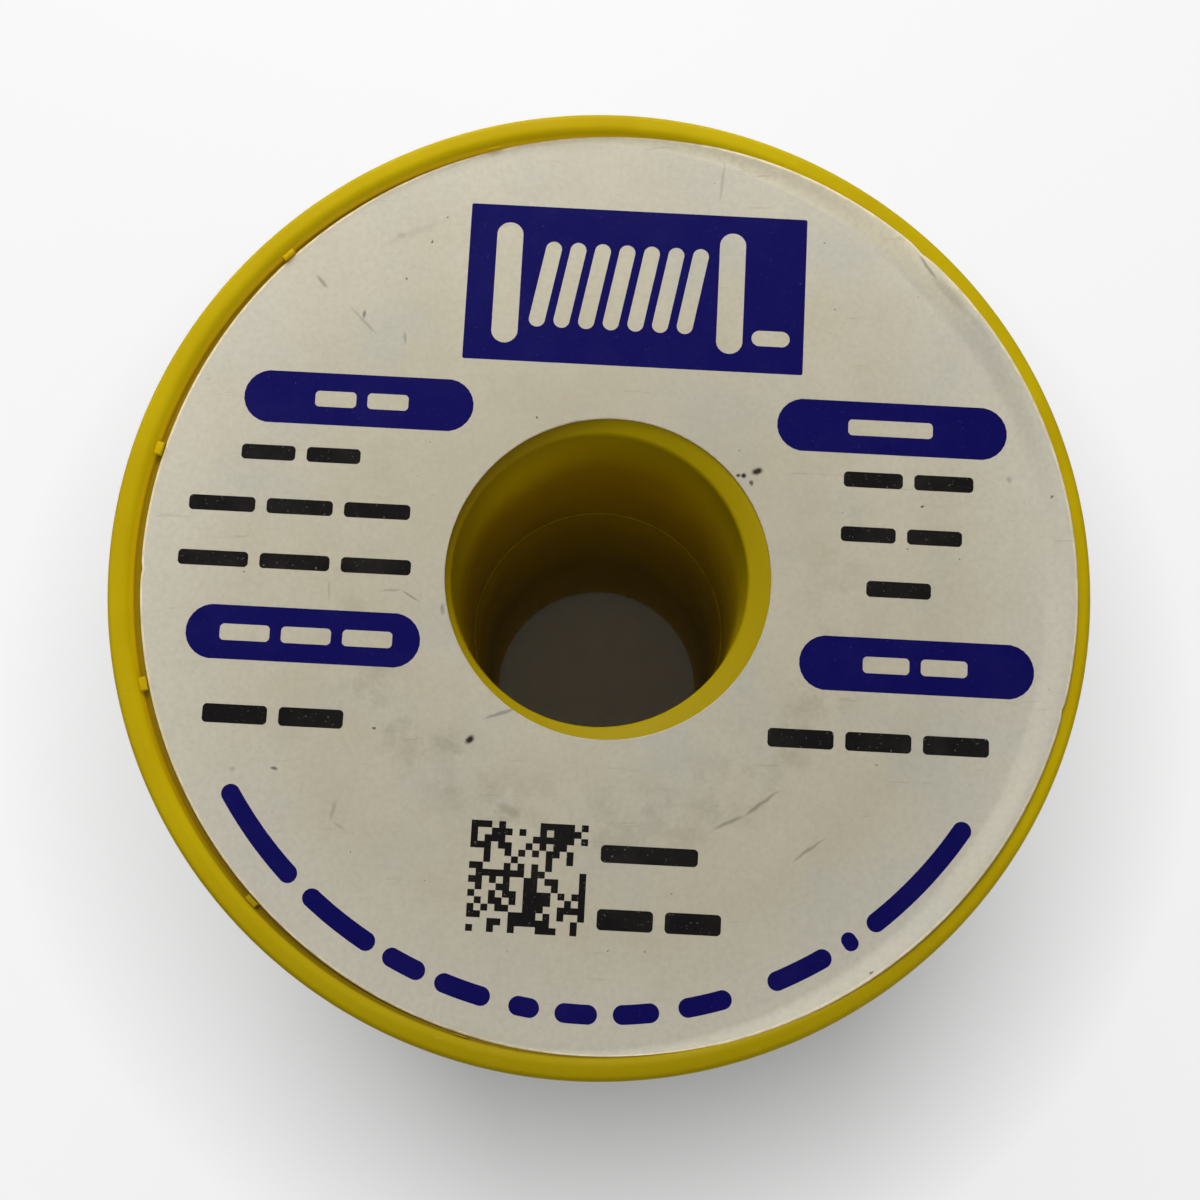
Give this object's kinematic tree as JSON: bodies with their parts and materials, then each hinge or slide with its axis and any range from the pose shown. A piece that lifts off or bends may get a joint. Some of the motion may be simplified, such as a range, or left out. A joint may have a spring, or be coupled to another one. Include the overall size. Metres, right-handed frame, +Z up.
{
  "type": "solder wire spool",
  "caption": "Moulded plastic spool with raised flange rims and a recessed round paper label, filled with thick flux-cored solder wire.",
  "frame": {"origin": "on the spool's axis, in the plane that the lower rim stands on", "axes": "+Z up along the spool's axis towards the labelled flange, +Y up the label as it is read, +X to its right"},
  "size_m": [0.065, 0.065, 0.0622],
  "materials": {
    "yellow_plastic": "satin moulded polystyrene, through-coloured mustard yellow",
    "label_paper": "uncoated off-white label paper, lightly soiled",
    "solder_alloy": "dull drawn tin-lead wire",
    "rosin_flux": "amber rosin"
  },
  "bodies": {
    "root": {"upper_half": "yellow_plastic", "lower_half": "yellow_plastic", "front_label": "label_paper", "solder_inner_layers": "solder_alloy", "solder_outer_turns": "solder_alloy", "solder_free_end": "solder_alloy", "solder_start_end": "solder_alloy", "flux_core": "rosin_flux"}
  },
  "joints": []
}
